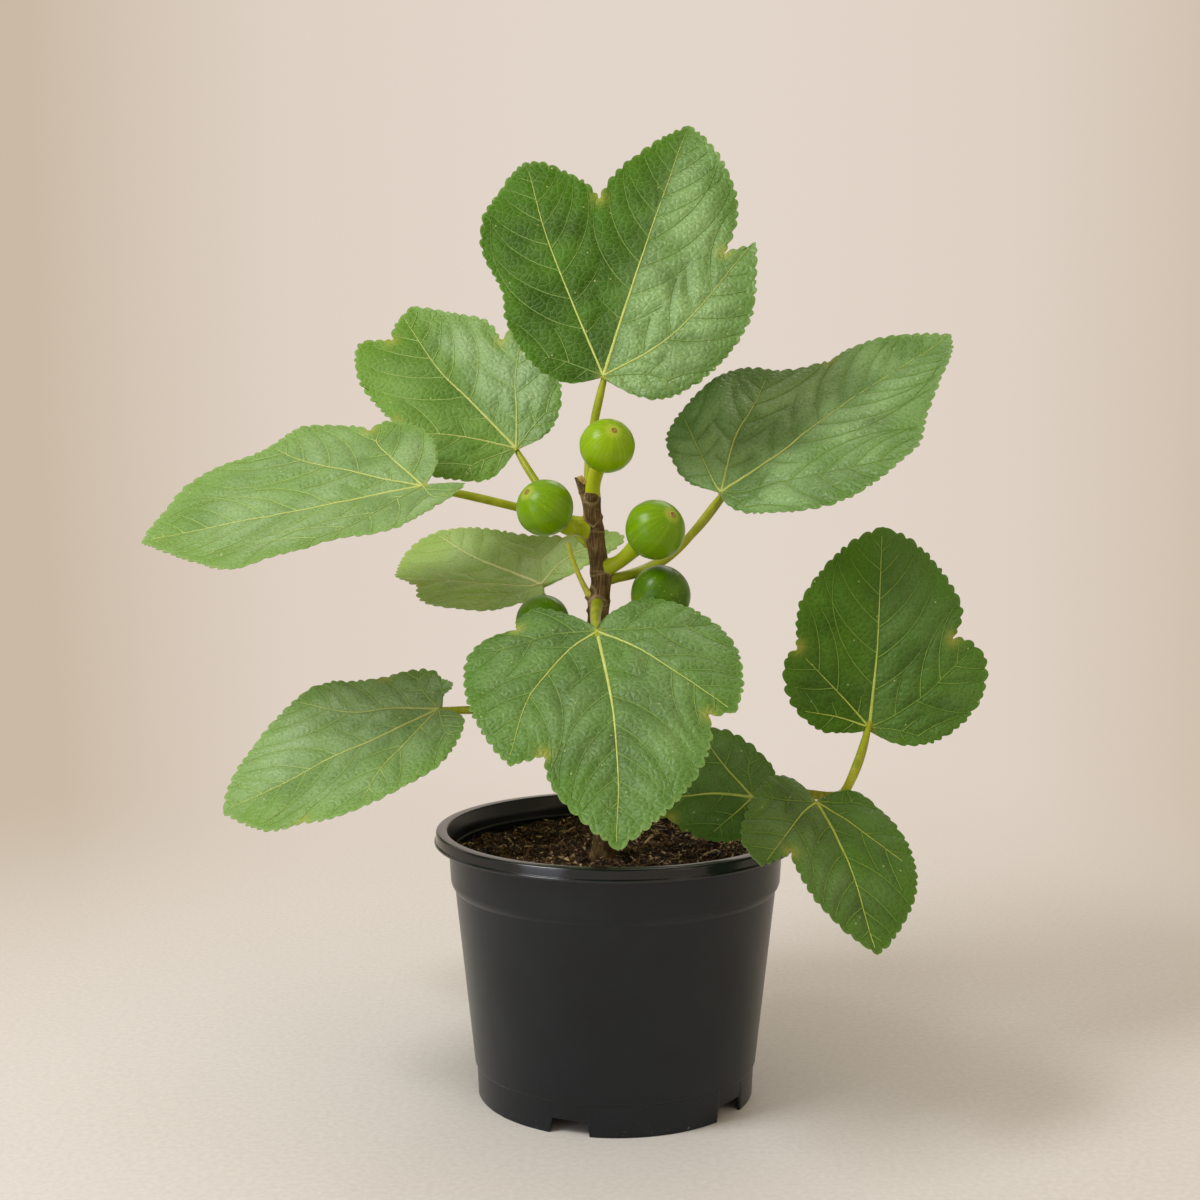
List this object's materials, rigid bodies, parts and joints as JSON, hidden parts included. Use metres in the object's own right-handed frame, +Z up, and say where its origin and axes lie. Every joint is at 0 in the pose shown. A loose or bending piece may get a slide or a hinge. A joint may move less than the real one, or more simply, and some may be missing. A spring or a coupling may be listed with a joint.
{
  "type": "potted fig tree",
  "caption": "Young fig tree with lobed leaves and green figs on one slender trunk with a low side bough, in a round moulded nursery pot filled with soil.",
  "frame": {"origin": "centre of the flat boss under the pot, on the pot's axis, level with the foot it stands on", "axes": "+Z up along the pot's axis, -Y the front of the plant as pictured, +X its right side seen from the front"},
  "size_m": [0.5509, 0.408, 0.6454],
  "materials": {
    "pot_plastic": "black moulded polypropylene with a soft sheen",
    "potting_soil": "damp fibrous bark compost",
    "bark": "thin grey-brown bark with fine lengthwise lines and pale ring scars",
    "foliage": "living fig leaf, green, satin, with paler raised veins and yellow-green stalks",
    "fig_skin": "smooth bright green skin of an unripe fig, faintly striped"
  },
  "bodies": {
    "root": {"pot": "pot_plastic", "soil": "potting_soil", "trunk": "bark", "low_side_bough": "bark", "leaf_top": "foliage", "leaf_upper_left": "foliage", "leaf_far_left": "foliage", "leaf_mid_left": "foliage", "leaf_lower_left": "foliage", "leaf_front": "foliage", "leaf_right": "foliage", "leaf_upright": "foliage", "leaf_lower_right": "foliage", "leaf_inner_right": "foliage", "leaf_back_top": "foliage", "leaf_back_low": "foliage", "leaf_back_right": "foliage", "leaf_back_left": "foliage", "leaf_bough_back": "foliage", "bare_leaf_stalk": "foliage", "fig_top": "fig_skin", "fig_left": "fig_skin", "fig_right": "fig_skin", "fig_low_right": "fig_skin", "fig_low_left": "fig_skin", "fig_back": "fig_skin"}
  },
  "joints": []
}
